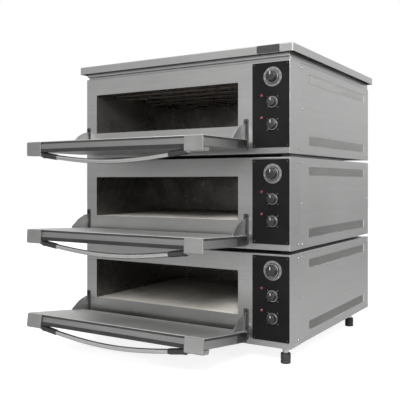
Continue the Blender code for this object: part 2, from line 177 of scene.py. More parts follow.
def studio():
    world = bpy.data.worlds.new("studio")
    world.use_nodes = True
    bpy.context.scene.world = world
    tree = world.node_tree
    tree.nodes.clear()
    mixed = tree.nodes.new("ShaderNodeMix")
    mixed.data_type, mixed.blend_type = "RGBA", "MULTIPLY"
    mixed.inputs[0].default_value = 1.0
    tree.links.new(grey_along(tree, "Generated", 2, (-1, 1), SKY), mixed.inputs[6])
    tree.links.new(grey_along(tree, "Generated", 0, (-1, 1), LEFT_TO_RIGHT), mixed.inputs[7])
    soft = tree.nodes.new("ShaderNodeBackground")
    soft.inputs["Strength"].default_value = 1.15
    tree.links.new(mixed.outputs[2], soft.inputs["Color"])
    white = tree.nodes.new("ShaderNodeBackground")
    white.inputs["Color"].default_value = (1, 1, 1, 1)
    tree.links.new(camera_only(tree, soft.outputs[0], white.outputs[0]),
                   tree.nodes.new("ShaderNodeOutputWorld").inputs["Surface"])

    softbox("top_softbox", (0.4, -0.9, 3.4), (0, -0.1, 0.6), (2.6, 2.6), 40)
    softbox("right_softbox", (3.2, -1.2, 2.4), (0.4, 0.0, 0.6), (1.4, 1.8), 25)
    softbox("key_softbox", (1.7, -3.4, 2.3), (-0.1, 0.3, 0.6), (1.0, 1.0), 180)
    bpy.context.scene.view_settings.view_transform = "Standard"

    ground = bmesh.new()
    bmesh.ops.create_grid(ground, x_segments=4, y_segments=4, size=14.0)
    mesh = bpy.data.meshes.new("floor")
    ground.to_mesh(mesh)
    floor = bpy.data.objects.new("floor", mesh)
    bpy.context.scene.collection.objects.link(floor)
    paint = bpy.data.materials.new("floor_white")
    paint.use_nodes = True
    tree = paint.node_tree
    shade, out = tree.nodes["Principled BSDF"], tree.nodes["Material Output"]
    for socket, value in (("Base Color", (0.30, 0.30, 0.30, 1)), ("Roughness", 0.9),
                          ("Emission Color", (1, 1, 1, 1)), ("Emission Strength", 0.85)):
        shade.inputs[socket].default_value = value
    grey = tree.nodes.new("ShaderNodeBsdfDiffuse")
    tree.links.new(grey_along(tree, "Object", 0, FLOOR_X, FLOOR), grey.inputs["Color"])
    tree.links.new(camera_only(tree, grey.outputs[0], shade.outputs[0]), out.inputs["Surface"])
    mesh.materials.append(paint)


# --- mesh tools -----------------------------------------------------------------------------------
# Matrices that stand a flat shape up: its u, v and thickness go along these axes.
FACE = Matrix(((1, 0, 0, 0), (0, 0, 1, 0), (0, 1, 0, 0), (0, 0, 0, 1)))     # u = x, v = z, depth = +y
SIDE = Matrix(((0, 0, 1, 0), (1, 0, 0, 0), (0, 1, 0, 0), (0, 0, 0, 1)))     # u = y, v = z, depth = +x
LEVEL = Matrix.Identity(4)                                                  # u = x, v = y, depth = +z


def at(x=0.0, y=0.0, z=0.0):
    return Matrix.Translation((x, y, z))


def rect(u0, v0, u1, v1, radius=0.0, steps=4):
    """Corner points of a rectangle, each corner an arc if it has a radius."""
    if radius <= 0:
        return [(u0, v0), (u1, v0), (u1, v1), (u0, v1)]
    points = []
    for corner, (u, v) in enumerate(((u1 - radius, v0 + radius), (u1 - radius, v1 - radius),
                                     (u0 + radius, v1 - radius), (u0 + radius, v0 + radius))):
        for step in range(steps + 1):
            angle = math.pi / 2 * (corner - 1 + step / steps)
            points.append((u + radius * math.cos(angle), v + radius * math.sin(angle)))
    return points


def disc(u, v, radius, sides=24):
    return [(u + radius * math.cos(2 * math.pi * i / sides), v + radius * math.sin(2 * math.pi * i / sides))
            for i in range(sides)]


def fill(bm, loops, place):
    """A flat face inside the first loop and outside the others. Returns the first loop's points, and the
    triangles."""
    points, outlines = [], []
    for loop in loops:
        if sum(u0 * v1 - u1 * v0 for (u0, v0), (u1, v1) in zip(loop, [*loop[1:], loop[0]])) < 0:
            loop = list(reversed(loop))
        outlines.append(list(range(len(points), len(points) + len(loop))))
        points += [Vector(point) for point in loop]
    flat, _, faces, sources, _, owners = geometry.delaunay_2d_cdt(points, [], outlines, 1, 1e-7)
    verts = [bm.verts.new(place @ Vector((u, v, 0))) for u, v in flat]
    made = [bm.faces.new([verts[i] for i in face])
            for face, owner in zip(faces, owners) if list(owner) == [0]]
    found = {index: vert for vert, source in zip(verts, sources) for index in source}
    return [found[index] for index in outlines[0]], made


def plate(bm, loops, near, far, place=LEVEL):
    """A flat plate with holes, from depth near to depth far."""
    _, faces = fill(bm, loops, place @ at(z=near))
    grown = bmesh.ops.extrude_face_region(bm, geom=faces, use_keep_orig=True)
    moved = [item for item in grown["geom"] if isinstance(item, bmesh.types.BMVert)]
    bmesh.ops.translate(bm, verts=moved, vec=place.to_3x3() @ Vector((0, 0, far - near)))


def ring_faces(bm, rings):
    """The faces between rings of points."""
    count = len(rings[0])
    for lower, upper in zip(rings, rings[1:]):
        for i in range(count):
            j = (i + 1) % count
            bm.faces.new((lower[i], lower[j], upper[j], upper[i]))


def tray(bm, size, depth, place=LEVEL, holes=(), fold=0.003, corner=0.0, wall=SHEET):
    """Sheet metal folded into a tray: a flat face at depth 0 with holes, and a wall all round it."""
    shell = bmesh.new()
    u0, v0, u1, v1 = size

    def outline(inset):
        radius = max(corner - inset, 0.0005) if corner else 0
        return rect(u0 + inset, v0 + inset, u1 - inset, v1 - inset, radius)

    rings = [fill(shell, [outline(fold), *holes], LEVEL)[0]]
    steps = 4
    for step in range(1, steps + 1):
        turn = math.pi / 2 * step / steps
        inset, down = fold * (1 - math.sin(turn)), fold * (1 - math.cos(turn))
        rings.append([shell.verts.new((u, v, down)) for u, v in outline(inset)])
    rings.append([shell.verts.new((u, v, depth)) for u, v in outline(0)])
    ring_faces(shell, rings)
    bmesh.ops.recalc_face_normals(shell, faces=shell.faces)
    shell.faces.ensure_lookup_table()
    if shell.faces[0].normal.z > 0:
        bmesh.ops.reverse_faces(shell, faces=shell.faces)
    bmesh.ops.solidify(shell, geom=shell.faces[:], thickness=wall)
    shell.transform(place)
    merge(bm, shell)


def merge(bm, other):
    """Adds another bmesh to this one, and frees it."""
    held = bpy.data.meshes.new("held")
    other.to_mesh(held)
    other.free()
    bm.from_mesh(held)
    bpy.data.meshes.remove(held)


def block(bm, low, high, radius=0.001, segments=2, place=LEVEL):
    """A box with rounded edges."""
    low, high = Vector(low), Vector(high)
    size = high - low
    part = bmesh.new()
    bmesh.ops.create_cube(part, size=1.0, matrix=Matrix.Translation((low + high) / 2) @
                          Matrix.Diagonal((*size, 1.0)))
    radius = min(radius, 0.45 * min(abs(side) for side in size))
    bmesh.ops.bevel(part, geom=part.edges[:], offset=radius, segments=segments, affect="EDGES", profile=0.5)
    part.transform(place)
    merge(bm, part)


def lathe(bm, profile, place=LEVEL, sides=32, shape=None):
    """Turns (radius, height) points round the depth axis. shape(angle, row) may change the radius."""
    part = bmesh.new()
    rings = []
    for row, (radius, height) in enumerate(profile):
        ring = []
        for i in range(sides):
            angle = 2 * math.pi * i / sides
            reach = radius * (shape(angle, row) if shape else 1.0)
            ring.append(part.verts.new((reach * math.cos(angle), reach * math.sin(angle), height)))
        rings.append(ring)
    ring_faces(part, rings)
    part.faces.new(list(reversed(rings[0])))
    part.faces.new(rings[-1])
    part.transform(place)
    merge(bm, part)


def tube(bm, points, radius, sides=16, place=LEVEL):
    """A round bar along a smooth row of points. radius may be a list, one for each point."""
    points = [Vector(point) for point in points]
    radii = radius if isinstance(radius, list) else [radius] * len(points)
    part = bmesh.new()
    across = (points[1] - points[0]).orthogonal().normalized()
    rings = []
    for index, point in enumerate(points):
        along = (points[min(index + 1, len(points) - 1)] - points[max(index - 1, 0)]).normalized()
        across = (across - along * across.dot(along)).normalized()
        other = along.cross(across)
        rings.append([part.verts.new(point + radii[index] * (math.cos(t) * across + math.sin(t) * other))
                      for t in (2 * math.pi * step / sides for step in range(sides))])
    ring_faces(part, rings)
    part.faces.new(list(reversed(rings[0])))
    part.faces.new(rings[-1])
    part.transform(place)
    merge(bm, part)


def screw(bm, place, radius=0.0045, height=0.0028):
    """A domed screw head with a star-shaped socket, standing out along -depth."""
    points = [(radius, 0.0), (radius, -0.25 * height), (0.93 * radius, -0.6 * height),
              (0.75 * radius, -0.88 * height), (0.52 * radius, -height), (0.48 * radius, -height),
              (0.42 * radius, -0.35 * height)]

    def star(angle, row):
        return 1.0 if row < 5 else 1.0 + 0.10 * math.cos(6 * angle)

    lathe(bm, points, place, sides=24, shape=star)


def facing_side(side, place):
    """Turns a screw's place so that its head faces the right side, 1, or the left side, -1."""
    return place @ Matrix.Rotation(side * math.pi / 2, 4, "Y") @ Matrix.Rotation(math.pi, 4, "X")


def make(name, bm, finish, body, place=LEVEL, replaces=(), smooth=False, bevel=0.0):
    """One visible piece, from a mesh in the coordinates of its place, riding on a body."""
    bmesh.ops.recalc_face_normals(bm, faces=bm.faces)
    mesh = bpy.data.meshes.new(name)
    bm.to_mesh(mesh)
    bm.free()
    if smooth:
        mesh.shade_smooth()
        mesh.set_sharp_from_angle(angle=math.radians(32))
    mesh.materials.append(FINISHES[finish])
    made = bpy.data.objects.new(name, mesh)
    bpy.context.scene.collection.objects.link(made)
    made.matrix_world = place
    if bevel:
        edges = made.modifiers.new("Edges", "BEVEL")
        edges.width, edges.segments, edges.limit_method = bevel, 2, "ANGLE"
        edges.angle_limit = math.radians(50)
        edges.use_clamp_overlap = True
    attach(made, body)
    if replaces:
        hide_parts(*replaces)
    return made


# --- materials ------------------------------------------------------------------------------------
class Paint:
    """A Principled material whose node inputs are added one by one."""

    def __init__(self, name, roughness=0.5, metallic=0.0):
        self.material = bpy.data.materials.new(name)
        self.material.use_nodes = True
        self.tree = self.material.node_tree
        self.shade = self.tree.nodes["Principled BSDF"]
        self.shade.inputs["Roughness"].default_value = roughness
        self.shade.inputs["Metallic"].default_value = metallic
        self.place = self.tree.nodes.new("ShaderNodeTexCoord").outputs["Object"]
        self.random = self.tree.nodes.new("ShaderNodeObjectInfo").outputs["Random"]

    def put(self, socket, value):
        if hasattr(value, "links"):
            self.tree.links.new(value, self.shade.inputs[socket])
        else:
            self.shade.inputs[socket].default_value = value

    def node(self, kind, settings=(), **values):
        made = self.tree.nodes.new(kind)
        for key, value in settings:
            setattr(made, key, value)
        for key, value in values.items():
            socket = made.inputs[key.replace("_", " ")] if key.replace("_", " ") in made.inputs else \
                made.inputs[int(key[1:])]
            if hasattr(value, "links"):
                self.tree.links.new(value, socket)
            else:
                socket.default_value = value
        return made

    def noise(self, scale, stretch=(1, 1, 1), detail=2.0, rough=0.5):
        """Noise from 0 to 1 in the piece's own coordinates, different on each piece."""
        spread = self.node("ShaderNodeMapping", Vector=self.place, Scale=stretch)
        seed = self.node("ShaderNodeMath", (("operation", "MULTIPLY"),), i0=self.random, i1=50.0)
        made = self.node("ShaderNodeTexNoise", (("noise_dimensions", "4D"),), Vector=spread.outputs[0],
                         W=seed.outputs[0], Scale=scale, Detail=detail, Roughness=rough)
        return made.outputs["Fac"]

    def span(self, value, low, high, start=0.3, stop=0.7):
        made = self.node("ShaderNodeMapRange", Value=value, From_Min=start, From_Max=stop,
                         To_Min=low, To_Max=high)
        return made.outputs["Result"]

    def times(self, first, second, operation="MULTIPLY"):
        return self.node("ShaderNodeMath", (("operation", operation),), i0=first, i1=second).outputs[0]

    def grey(self, colour, share):
        """A colour, brightened or darkened by a share that varies round 1."""
        made = self.node("ShaderNodeVectorMath", (("operation", "SCALE"),), i0=colour, i3=share)
        return made.outputs[0]

    def blend(self, share, first, second):
        made = self.node("ShaderNodeMix", (("data_type", "RGBA"),), i0=share, i6=(*first, 1),
                         i7=(*second, 1))
        return made.outputs[2]

    def bump(self, height, strength, distance=0.001):
        made = self.node("ShaderNodeBump", Height=height, Strength=strength, Distance=distance)
        return made.outputs["Normal"]


def brushed(name, colour, roughness, grain, fine=1.0):
    """Brushed sheet: long fine streaks along the grain, faint smears, and a few dull patches."""
    paint = Paint(name, metallic=1.0)
    streaks = paint.noise(1.0, [9.0 if axis == grain else 900.0 for axis in range(3)], 3.0, 0.6)
    bands = paint.noise(1.0, [1.3 if axis == grain else 55.0 for axis in range(3)], 3.0, 0.55)
    smears = paint.noise(3.2, detail=4.0, rough=0.6)
    tone = paint.times(paint.span(streaks, 1 - 0.10 * fine, 1 + 0.10 * fine),
                       paint.span(bands, 0.965, 1.03))
    tone = paint.times(tone, paint.span(smears, 0.955, 1.035))
    paint.put("Base Color", paint.grey(colour, tone))
    dull = paint.times(paint.span(streaks, -0.05, 0.05),
                       paint.span(smears, roughness - 0.045, roughness + 0.05), "ADD")
    paint.put("Roughness", dull)
    paint.put("Normal", paint.bump(streaks, 0.10 * fine, 0.0004))
    return paint.material


def cast_metal():
    """Satin cast aluminium: fine even grain, and faint clouds."""
    paint = Paint("cast_satin", metallic=1.0)
    clouds, grain = paint.noise(18.0, detail=4.0), paint.noise(1400.0, detail=1.0)
    tone = paint.times(paint.span(clouds, 0.94, 1.05), paint.span(grain, 0.97, 1.03))
    paint.put("Base Color", paint.grey((0.30, 0.30, 0.297), tone))
    paint.put("Roughness", paint.span(clouds, 0.38, 0.48))
    paint.put("Normal", paint.bump(grain, 0.06, 0.0002))
    return paint.material


def galvanised():
    """Zinc-coated sheet: crystals of slightly different greys."""
    paint = Paint("galvanised_sheet", metallic=1.0)
    crystals = paint.node("ShaderNodeTexVoronoi", Vector=paint.place, Scale=90.0)
    tone = paint.span(crystals.outputs["Color"], 0.86, 1.10, 0.0, 1.0)
    stain = paint.span(paint.noise(5.0, detail=4.0), 0.90, 1.05)
    paint.put("Base Color", paint.grey((0.42, 0.43, 0.44), paint.times(tone, stain)))
    paint.put("Roughness", paint.span(crystals.outputs["Color"], 0.42, 0.58, 0.0, 1.0))
    paint.put("Normal", paint.bump(paint.noise(260.0), 0.08, 0.0004))
    return paint.material


def chamber_steel():
    """Aluminised steel gone dark and brown with heat, paler where it is still clean."""
    paint = Paint("chamber_steel_dark", metallic=0.88)
    stain = paint.noise(7.0, detail=6.0, rough=0.62)
    speck = paint.noise(70.0, detail=3.0)
    base = paint.blend(paint.span(stain, 0.0, 1.0, 0.35, 0.68), (0.150, 0.144, 0.136),
                       (0.300, 0.290, 0.275))
    paint.put("Base Color", paint.grey(base, paint.span(speck, 0.85, 1.12)))
    paint.put("Roughness", paint.span(stain, 0.34, 0.20))
    paint.put("Normal", paint.bump(speck, 0.08, 0.0006))
    return paint.material


def refractory():
    """Baking stone: pale and porous, browned by flour and fat."""
    paint = Paint("refractory_stone", roughness=0.9)
    toast = paint.noise(6.0, detail=6.0, rough=0.6)
    pores = paint.noise(240.0, detail=4.0, rough=0.7)
    base = paint.blend(paint.span(toast, 0.0, 1.0, 0.36, 0.66), (0.500, 0.475, 0.430),
                       (0.700, 0.670, 0.620))
    paint.put("Base Color", paint.grey(base, paint.span(pores, 0.82, 1.10)))
    paint.put("Roughness", paint.span(toast, 0.82, 0.95))
    paint.put("Normal", paint.bump(pores, 0.35, 0.0010))
    return paint.material


def glass_wool():
    """Yellow glass wool: long fibres, matted."""
    paint = Paint("glass_wool_yellow", roughness=1.0)
    fibre = paint.noise(160.0, (1.0, 6.0, 6.0), 5.0, 0.7)
    base = paint.blend(paint.span(fibre, 0.0, 1.0), (0.30, 0.26, 0.15), (0.60, 0.54, 0.36))
    paint.put("Base Color", base)
    paint.put("Normal", paint.bump(fibre, 0.8, 0.004))
    return paint.material


def sheathed_element():
    """Heating element: an oxidised steel tube, blue-black with a rusty bloom."""
    paint = Paint("element_oxide", metallic=0.8)
    bloom = paint.noise(30.0, detail=5.0)
    paint.put("Base Color", paint.blend(paint.span(bloom, 0.0, 1.0, 0.4, 0.7), (0.050, 0.048, 0.052),
                                        (0.110, 0.078, 0.058)))
    paint.put("Roughness", paint.span(bloom, 0.38, 0.62))
    paint.put("Normal", paint.bump(paint.noise(420.0), 0.15, 0.0003))
    return paint.material


def coated(name, colour, roughness, texture, strength, dust=0.015, coat=0.0, shine=0.5):
    """Painted metal or moulded plastic: an even skin with a fine texture and a little dust."""
    paint = Paint(name)
    skin = paint.noise(texture, detail=2.0)
    film = paint.noise(9.0, detail=5.0, rough=0.6)
    settled = [channel + dust for channel in colour]
    base = paint.blend(paint.span(film, 0.0, 1.0, 0.42, 0.75), colour, settled)
    paint.put("Base Color", paint.grey(base, paint.span(skin, 0.94, 1.06)))
    paint.put("Roughness", paint.span(film, roughness - 0.04, roughness + 0.08))
    paint.put("Normal", paint.bump(skin, strength, 0.0003))
    paint.put("Specular IOR Level", shine)
    if coat:
        paint.put("Coat Weight", coat)
        paint.put("Coat Roughness", 0.12)
    return paint.material


def red_lens():
    """A ribbed red lens, hardly lit."""
    paint = Paint("lamp_red_lens", roughness=0.12)
    ribs = paint.noise(500.0, detail=1.0)
    paint.put("Base Color", paint.blend(paint.span(ribs, 0.0, 1.0), (0.110, 0.008, 0.008),
                                        (0.170, 0.012, 0.010)))
    paint.put("Coat Weight", 0.3)
    paint.put("Emission Color", (0.9, 0.03, 0.02, 1))
    paint.put("Emission Strength", 0.02)
    return paint.material


FINISHES = {
    "steel_front": brushed("stainless_front", (0.36, 0.36, 0.357), 0.33, 0),
    "steel_side": brushed("stainless_side", (0.36, 0.36, 0.357), 0.35, 1),
    # The door's two skins are one stainless in two greys: the outer skin, which faces down on the open
    # door, is painted darker (painted shade), and the inner skin, which faces up, is painted lighter
    # (painted light).
    "steel_door_shaded": brushed("stainless_door_painted_shade", (0.26, 0.26, 0.258), 0.40, 0),
    "steel_inner_lit": brushed("stainless_inner_painted_light", (0.46, 0.46, 0.455), 0.52, 0, fine=0.7),
    "zinc": brushed("zinc_plated", (0.36, 0.36, 0.36), 0.46, 2, fine=0.5),
    "steel_bar": brushed("stainless_bar", (0.44, 0.44, 0.435), 0.28, 0, fine=0.6),
    "steel_bright": brushed("stainless_bright", (0.50, 0.50, 0.49), 0.26, 2, fine=0.6),
    "cast": cast_metal(),
    "galvanised": galvanised(),
    "chamber_steel": chamber_steel(),
    "refractory": refractory(),
    "glass_wool": glass_wool(),
    "element": sheathed_element(),
    "black_panel": coated("panel_black", (0.0045, 0.0045, 0.005), 0.46, 700.0, 0.10, dust=0.003,
                          shine=0.09),
    # One black for the knobs, lamp bezels, gland and panel screws; it also paints shade on the door's side
    # plates, its edge strip and the handle's sockets.
    "black_plastic": coated("knob_black_and_painted_shade", (0.008, 0.008, 0.008), 0.36, 500.0, 0.12, dust=0.008),
    "rubber": coated("foot_rubber", (0.010, 0.010, 0.010), 0.72, 300.0, 0.25, dust=0.03),
    "name_plate": coated("plate_gloss_black", (0.010, 0.010, 0.011), 0.25, 900.0, 0.04, coat=0.6),
    "print": coated("print_grey", (0.30, 0.30, 0.29), 0.55, 900.0, 0.05, dust=-0.04),
    "dial": coated("dial_grey", (0.105, 0.105, 0.107), 0.42, 1200.0, 0.06, dust=-0.02, shine=0.3),
    "pointer": coated("pointer_white", (0.50, 0.50, 0.49), 0.5, 900.0, 0.05, dust=-0.05),
    "ceramic": coated("bush_ceramic", (0.66, 0.63, 0.57), 0.5, 300.0, 0.1, dust=-0.12),
    # The dark gasket grey of the door seal; it also paints shade on the plates round the hinge slots.
    "gasket_and_shade": coated("dark_gasket_and_shade", (0.022, 0.021, 0.020), 0.85, 260.0, 0.4),
    "lamp": red_lens(),
}


def cover_node(node, finish):
    """Gives a CAD node that stays in view its finished material."""
    shown = frame["nodes"][node]
    shown.data.materials.clear()
    shown.data.materials.append(FINISHES[finish])


# --- casing of a deck -----------------------------------------------------------------------------
def front_frame(deck):
    """The folded front sheet with its mouth, hinge slots and lugs; dark plates round the slots, painted
    shade; the side screws.
    """
    bm = bmesh.new()
    holes = [rect(MOUTH_X[0], MOUTH_Z[0], MOUTH_X[1], MOUTH_Z[1], 0.003)]
    for arm in ARM_X:
        holes.append(rect(arm - SLOT_HALF, AXIS_Z - SLOT_BELOW, arm + SLOT_HALF, AXIS_Z + SLOT_ABOVE,
                          SLOT_HALF * 0.9))
    tray(bm, (-HALF_W, 0, HALF_W, DECK_H), FRAME_D, FACE, holes)
    for arm, inward in zip(ARM_X, (1, -1)):
        near, far = sorted((arm + inward * LUG_NEAR, arm + inward * LUG_FAR))
        turns = [math.pi * (step / 8 - 0.5) for step in range(9)]
        nose = [(-AXIS_OUT - 0.9 * LUG_R * math.cos(t), AXIS_Z + LUG_R * math.sin(t)) for t in turns]
        lug = [(0.0, AXIS_Z - LUG_R), *nose, (0.0, AXIS_Z + LUG_R)]
        plate(bm, [lug, disc(-AXIS_OUT, AXIS_Z, ROD_R + 0.0005)], near, far, SIDE)
    make(f"{deck}_front_frame_sheet", bm, "steel_front", "casing", deck_place(deck),
         (f"{deck}_front_frame",), bevel=0.0005)

    bm = bmesh.new()
    # Dark plates round the hinge slots: painted shade that widens the slots' dark.
    shade_rim_w, lap, shade_face = 0.006, 0.0008, -0.0008
    low, high = AXIS_Z - SLOT_BELOW, AXIS_Z + SLOT_ABOVE
    for arm in ARM_X:
        left, right = arm - SLOT_HALF, arm + SLOT_HALF
        edge = rect(left - shade_rim_w, low, right + shade_rim_w, high + shade_rim_w, 0.004)
        hole = rect(left + lap, low + lap, right - lap, high - lap, 0.003)
        plate(bm, [edge, hole], shade_face, -GAP, FACE)
    make(f"{deck}_slot_seals", bm, "gasket_and_shade", "casing", deck_place(deck))

    bm = bmesh.new()
    for side in (-1, 1):
        for z in (0.020, DECK_H - 0.020):
            screw(bm, facing_side(side, at(side * HALF_W, FRAME_D - 0.016, z)))
    make(f"{deck}_frame_screws", bm, "steel_front", "casing", deck_place(deck),
         smooth=True)


def louvre_holes(z_low, z_high, first=0.187, last=0.880, pitch=0.0105, width=0.0062):
    """Upright slots in a row, in the side cover's own y and z."""
    count = int((last - first) / pitch)
    return [rect(first + pitch * i, z_low, first + pitch * i + width, z_high, width * 0.45, 2)
            for i in range(count + 1)]


LOUVRE_BANDS = ((0.036, 0.074), (DECK_H - 0.070, DECK_H - 0.034))


def side_cover(deck, side):
    """A folded side sheet with two bands of louvre slots, and its screws."""
    bm = bmesh.new()
    holes = [hole for band in LOUVRE_BANDS for hole in louvre_holes(*band)]
    place = at(x=SIDE_X[1]) @ SIDE @ Matrix.Diagonal((1, 1, -1, 1))
    tray(bm, (SIDE_Y[0], 0, SIDE_Y[1], DECK_H), SIDE_X[1] - SIDE_X[0], place, holes, fold=0.0025,
         wall=0.0012)
    if side < 0:
        bm.transform(Matrix.Diagonal((-1, 1, 1, 1)))
    name = "right" if side > 0 else "left"
    make(f"{deck}_{name}_side_sheet", bm, "steel_side", "casing", deck_place(deck),
         (f"{deck}_{name}_side_cover",), bevel=0.0004)
    bm = bmesh.new()
    for y in (SIDE_Y[0] + 0.022, SIDE_Y[1] - 0.022):
        for z in (0.018, DECK_H / 2, DECK_H - 0.018):
            screw(bm, facing_side(side, at(side * SIDE_X[1], y, z)))
    make(f"{deck}_{name}_side_screws", bm, "steel_side", "casing", deck_place(deck),
         smooth=True)


def back_cover(deck):
    """The flat back sheet with three groups of vent slots, its cable gland with a blind cap, its screws."""
    low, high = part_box(f"{deck}_back_cover")
    width, back = high.x, low.y - FRONT_Y
    vent_pitch, vent_w, vent_z = 0.016, 0.005, (0.215, 0.285)
    lefts = [start + vent_pitch * i for start in (-0.40, -0.15, 0.095) for i in range(13)]
    holes = [rect(left, vent_z[0], left + vent_w, vent_z[1], 0.0024, 3) for left in lefts]
    gland_x, gland_z = 0.400, 0.060
    bm = bmesh.new()
    plate(bm, [rect(-width, 0, width, DECK_H, 0.004), *holes], back, back + SHEET, FACE)
    make(f"{deck}_back_sheet", bm, "galvanised", "casing", deck_place(deck), (f"{deck}_back_cover",),
         bevel=0.0004)
    bm = bmesh.new()
    nut = at(gland_x, back + SHEET, gland_z) @ FACE
    lathe(bm, [(0.0150, 0.0), (0.0158, 0.0008), (0.0158, 0.0062), (0.0150, 0.0070)], nut, 6)
    lathe(bm, [(0.0120, 0.007), (0.0138, 0.0075), (0.0138, 0.0120), (0.0128, 0.0150), (0.0090, 0.0170),
               (0.0088, 0.0160)],
          nut, 32, lambda t, row: 1.0 + (0.02 * math.cos(16 * t) if row in (1, 2) else 0))
    make(f"{deck}_cable_gland", bm, "black_plastic", "casing", deck_place(deck),
         smooth=True)
    bm = bmesh.new()
    for x in (-width + 0.014, -0.15, 0.15, width - 0.014):
        for z in (0.014, DECK_H - 0.014):
            screw(bm, at(x, back + SHEET, z) @ FACE @ Matrix.Rotation(math.pi, 4, "X"))
    make(f"{deck}_back_screws", bm, "steel_bright", "casing", deck_place(deck),
         smooth=True)


def element_points(low, high, radius, runs=6, turn_steps=14):
    """A heating element in its deck's coordinates: legs at its right end, straight runs and half turns."""
    first, last = low.y - FRONT_Y + radius, high.y - FRONT_Y - radius
    step = (last - first) / (runs - 1)
    left = low.x + radius + step / 2
    right = MOUTH_X[0] + MOUTH_X[1] - left
    points = [Vector((high.x, first, 0))]
    for run in range(runs - 1):
        side, end_x = (-1, left) if run % 2 == 0 else (1, right)
        for corner in range(turn_steps + 1):
            angle = math.pi * corner / turn_steps
            points.append(Vector((end_x + side * math.sin(angle) * step / 2,
                                  first + run * step + step / 2 * (1 - math.cos(angle)), 0)))
    return points + [Vector((high.x, last, 0))]


def heating_elements(deck):
    """The two elements, the hangers of the top one, and the bushes where their legs leave the chamber."""
    place = deck_place(deck)
    hangers, bushes = bmesh.new(), bmesh.new()
    for where in ("top", "bottom"):
        node = f"{deck}_{where}_heating_element"
        low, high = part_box(node)
        radius, height = (high.z - low.z) / 2, (high.z + low.z) / 2 - base_of(deck)
        points = element_points(low, high, radius)
        bm = bmesh.new()
        tube(bm, points, radius, 16, at(z=height))
        make(f"{node}_tube", bm, "element", "casing", place, (node,), smooth=True)
        for point in (points[0], points[-1]):
            wall = at(MOUTH_X[1] - GAP, point.y, height) @ Matrix.Rotation(-math.pi / 2, 4, "Y")
            lathe(bushes, [(0.0045, 0.0), (0.0075, 0.0), (0.0075, 0.0030), (0.0062, 0.0050),
                           (0.0045, 0.0052)], wall, 24)
        if where == "top":
            ceiling, strap_half, strap_t = LINER_HIGH.z - UPPER_BASE - SHEET - GAP, 0.0075, 0.0012
            for y in (points[0].y + i * (points[-1].y - points[0].y) / 5 for i in range(6)):
                for x in (-0.30, -0.08, 0.14):
                    strap = rect(y - strap_half, height - strap_half, y + strap_half, ceiling, 0.002, 3)
                    plate(hangers, [strap, disc(y, height, radius + 0.0004)], x, x + strap_t, SIDE)
    make(f"{deck}_element_hangers", hangers, "chamber_steel", "casing", place)
    make(f"{deck}_element_bushes", bushes, "ceramic", "casing", place, smooth=True)


def chamber(deck):
    """The liner and what is round it and in it: insulation, elements, hearth tiles, thermostat bulb."""
    for node, finish in (("chamber_liner", "chamber_steel"), ("insulation", "glass_wool"),
                         ("base_tray", "galvanised"), ("top_cover", "galvanised")):
        cover_node(f"{deck}_{node}", finish)
    heating_elements(deck)
    shift = Vector((0, FRONT_Y, base_of(deck)))
    low, high = (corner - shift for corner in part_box(f"{deck}_insulation"))
    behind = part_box(f"{deck}_back_cover")[0].y - FRONT_Y
    bm = bmesh.new()
    block(bm, (low.x, high.y + 0.001, low.z), (high.x, behind - 0.004, high.z), 0.008, 3)
    make(f"{deck}_rear_wool_batt", bm, "glass_wool", "casing", deck_place(deck),
         smooth=True)

    low, high = (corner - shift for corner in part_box(f"{deck}_baking_stone"))
    middle, joint = (low.x + high.x) / 2, 0.0006
    bm = bmesh.new()
    block(bm, low, (middle - joint, high.y, high.z), 0.0018, 3)
    block(bm, (middle + joint, low.y, low.z), high, 0.0018, 3)
    make(f"{deck}_hearth_tiles", bm, "refractory", "casing", deck_place(deck), (f"{deck}_baking_stone",),
         smooth=True)

    bm = bmesh.new()
    x, z, front, back = MOUTH_X[1] - 0.012, MOUTH_Z[1] - 0.030, 0.20, 0.31
    bulb_r, tip_r, capillary_r, clip = 0.003, 0.0012, 0.001, 0.0036
    tube(bm, [(x, front - 0.004, z), (x, front, z), (x, back, z), (x, back + 0.004, z)],
         [tip_r, bulb_r, bulb_r, tip_r], 16)
    tube(bm, [(x, back, z), (x, back + 0.015, z), (x + 0.004, back + 0.022, z),
              (x + 0.0117, back + 0.025, z)], capillary_r, 10)
    for y in (front + 0.02, back - 0.02):
        block(bm, (x - clip, y - 0.004, z - clip), (MOUTH_X[1] - GAP, y + 0.004, z + clip), 0.001)
    make(f"{deck}_thermostat_bulb", bm, "steel_bright", "casing", deck_place(deck),
         smooth=True)


# --- controls -------------------------------------------------------------------------------------
def figures(bm, text, size, place):
    """Flat printed figures, centred on their place."""
    curve = bpy.data.curves.new("figures", "FONT")
    curve.body, curve.size, curve.extrude, curve.resolution_u = text, size, 0.00008, 3
    curve.align_x, curve.align_y = "CENTER", "CENTER"
    held = bpy.data.objects.new("figures", curve)
    bpy.context.scene.collection.objects.link(held)
    mesh = bpy.data.meshes.new_from_object(held.evaluated_get(bpy.context.evaluated_depsgraph_get()))
    bm_text = bmesh.new()
    bm_text.from_mesh(mesh)
    bm_text.transform(place)
    merge(bm, bm_text)
    bpy.data.objects.remove(held)
    bpy.data.curves.remove(curve)
    bpy.data.meshes.remove(mesh)


def scale(bm, centre, place, labels, minor, inner, outer, size):
    """Printed ticks and figures round a knob, over three quarters of a turn, clockwise from lower left."""
    steps = (len(labels) - 1) * minor
    for step in range(steps + 1):
        around = at(*centre) @ Matrix.Rotation(math.radians(135 - 270 * step / steps), 4, "Z")
        major = step % minor == 0
        width, top = (0.0004, outer) if major else (0.00022, inner + 0.6 * (outer - inner))
        plate(bm, [rect(-width, inner, width, top)], -0.00016, 0, place @ around)
    for index, label in enumerate(labels):
        angle = math.radians(225 - 270 * index / (len(labels) - 1))
        reach = outer + 0.72 * size
        u, v = centre[0] + reach * math.cos(angle), centre[1] + reach * math.sin(angle)
        figures(bm, label, size, place @ at(u, v, -0.0001))


